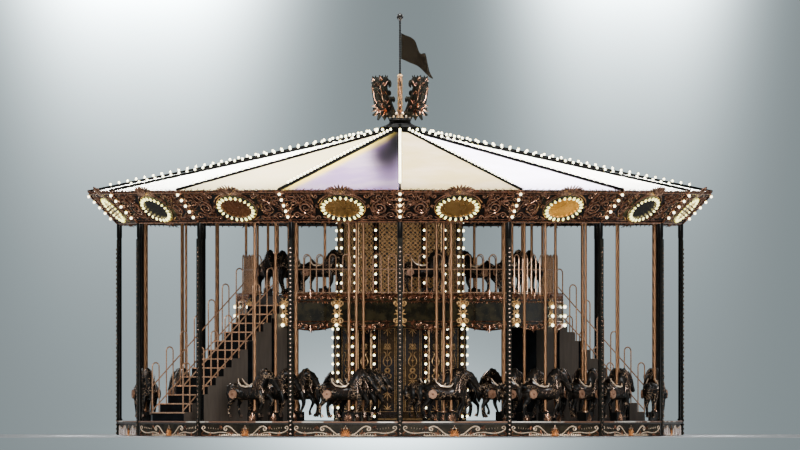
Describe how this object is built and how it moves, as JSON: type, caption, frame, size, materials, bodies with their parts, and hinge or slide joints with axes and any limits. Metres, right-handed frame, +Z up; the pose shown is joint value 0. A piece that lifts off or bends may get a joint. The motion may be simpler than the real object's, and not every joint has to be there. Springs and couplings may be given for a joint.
{
  "type": "two-deck fairground carousel",
  "caption": "Two-deck fairground carousel on a sixteen-sided turning platform, with rows of galloping horses, stairs, a centre drum, leaning boards and a canvas roof with crown and flag.",
  "frame": {"origin": "on the turning axis at ground level", "axes": "+Z up along the turning axis, -Y towards the front corner of the platform, +X to the right seen from the front"},
  "size_m": [13.2628, 13.2628, 8.97],
  "materials": {
    "black_iron": "glossy black with a warm tint",
    "bronze_relief": "copper-brown carved relief over near black, edges rubbed bright",
    "gilt_lattice": "pierced gilt lattice over dark panels",
    "drum_panels": "dark glossy panels with copper arabesques",
    "copper_tube": "polished copper-coloured tube",
    "pole_brass": "twisted polished brass tube",
    "floor_boards": "dark satin floor with a light metal edge",
    "stair_panels": "dark brown satin panels with dark joints",
    "roof_canvas": "taut off-white canvas",
    "flag_cloth": "matt dark brown cloth",
    "horse_lacquer": "black lacquer with gilt harness and mane",
    "bulb_glass": "lit warm white bulbs",
    "mirror_copper": "copper-toned mirror fields"
  },
  "bodies": {
    "ground": {"ground_base": "black_iron"},
    "carousel": {"platform_deck": "floor_boards", "platform_skirt": "bronze_relief", "roof_frame": "black_iron", "rounding_boards": "bronze_relief", "roof_canopy": "roof_canvas", "roof_ribs": "black_iron", "crown_base": "black_iron", "crown_scrolls": "bronze_relief", "flag_mast": "black_iron", "flag": "flag_cloth", "lower_drum": "drum_panels", "upper_drum": "gilt_lattice", "upper_deck": "floor_boards", "upper_fascia_right": "bronze_relief", "upper_fascia_left": "bronze_relief", "upper_railing_right": "copper_tube", "upper_railing_left": "copper_tube", "outer_horses_right": "horse_lacquer", "outer_horses_left": "horse_lacquer", "inner_horses_right": "horse_lacquer", "inner_horses_left": "horse_lacquer", "upper_horses_right": "horse_lacquer", "upper_horses_left": "horse_lacquer", "stair_front": "stair_panels", "stair_back": "stair_panels", "stair_front_railing_left": "copper_tube", "stair_front_railing_right": "copper_tube", "stair_back_railing_left": "copper_tube", "stair_back_railing_right": "copper_tube", "post_01": "black_iron", "post_02": "black_iron", "post_03": "black_iron", "post_04": "black_iron", "post_05": "black_iron", "post_06": "black_iron", "post_07": "black_iron", "post_08": "black_iron", "post_09": "black_iron", "post_10": "black_iron", "post_11": "black_iron", "post_12": "black_iron", "post_13": "black_iron", "post_14": "black_iron", "post_15": "black_iron", "post_16": "black_iron"},
    "jumper_01": {"jumping_horse_01": "horse_lacquer"},
    "jumper_02": {"jumping_horse_02": "horse_lacquer"},
    "jumper_03": {"jumping_horse_03": "horse_lacquer"},
    "jumper_04": {"jumping_horse_04": "horse_lacquer"},
    "jumper_05": {"jumping_horse_05": "horse_lacquer"},
    "jumper_06": {"jumping_horse_06": "horse_lacquer"},
    "jumper_07": {"jumping_horse_07": "horse_lacquer"},
    "jumper_08": {"jumping_horse_08": "horse_lacquer"},
    "jumper_09": {"jumping_horse_09": "horse_lacquer"},
    "jumper_10": {"jumping_horse_10": "horse_lacquer"},
    "jumper_11": {"jumping_horse_11": "horse_lacquer"},
    "jumper_12": {"jumping_horse_12": "horse_lacquer"},
    "jumper_13": {"jumping_horse_13": "horse_lacquer"},
    "jumper_14": {"jumping_horse_14": "horse_lacquer"}
  },
  "joints": [
    {"name": "carousel_turn", "type": "hinge", "parent": "ground", "child": "carousel", "pos_m": [0, 0, 0.26], "axis": [0, 0, 1], "continuous": true},
    {"name": "jump_01", "type": "slide", "parent": "carousel", "child": "jumper_01", "axis": [0, 0, 1], "range_m": [0, 0.3]},
    {"name": "jump_02", "type": "slide", "parent": "carousel", "child": "jumper_02", "axis": [0, 0, 1], "range_m": [0, 0.3]},
    {"name": "jump_03", "type": "slide", "parent": "carousel", "child": "jumper_03", "axis": [0, 0, 1], "range_m": [0, 0.3]},
    {"name": "jump_04", "type": "slide", "parent": "carousel", "child": "jumper_04", "axis": [0, 0, 1], "range_m": [0, 0.3]},
    {"name": "jump_05", "type": "slide", "parent": "carousel", "child": "jumper_05", "axis": [0, 0, 1], "range_m": [0, 0.3]},
    {"name": "jump_06", "type": "slide", "parent": "carousel", "child": "jumper_06", "axis": [0, 0, 1], "range_m": [0, 0.3]},
    {"name": "jump_07", "type": "slide", "parent": "carousel", "child": "jumper_07", "axis": [0, 0, 1], "range_m": [0, 0.3]},
    {"name": "jump_08", "type": "slide", "parent": "carousel", "child": "jumper_08", "axis": [0, 0, 1], "range_m": [0, 0.3]},
    {"name": "jump_09", "type": "slide", "parent": "carousel", "child": "jumper_09", "axis": [0, 0, 1], "range_m": [0, 0.3]},
    {"name": "jump_10", "type": "slide", "parent": "carousel", "child": "jumper_10", "axis": [0, 0, 1], "range_m": [0, 0.3]},
    {"name": "jump_11", "type": "slide", "parent": "carousel", "child": "jumper_11", "axis": [0, 0, 1], "range_m": [0, 0.3]},
    {"name": "jump_12", "type": "slide", "parent": "carousel", "child": "jumper_12", "axis": [0, 0, 1], "range_m": [0, 0.3]},
    {"name": "jump_13", "type": "slide", "parent": "carousel", "child": "jumper_13", "axis": [0, 0, 1], "range_m": [0, 0.3]},
    {"name": "jump_14", "type": "slide", "parent": "carousel", "child": "jumper_14", "axis": [0, 0, 1], "range_m": [0, 0.3]}
  ]
}
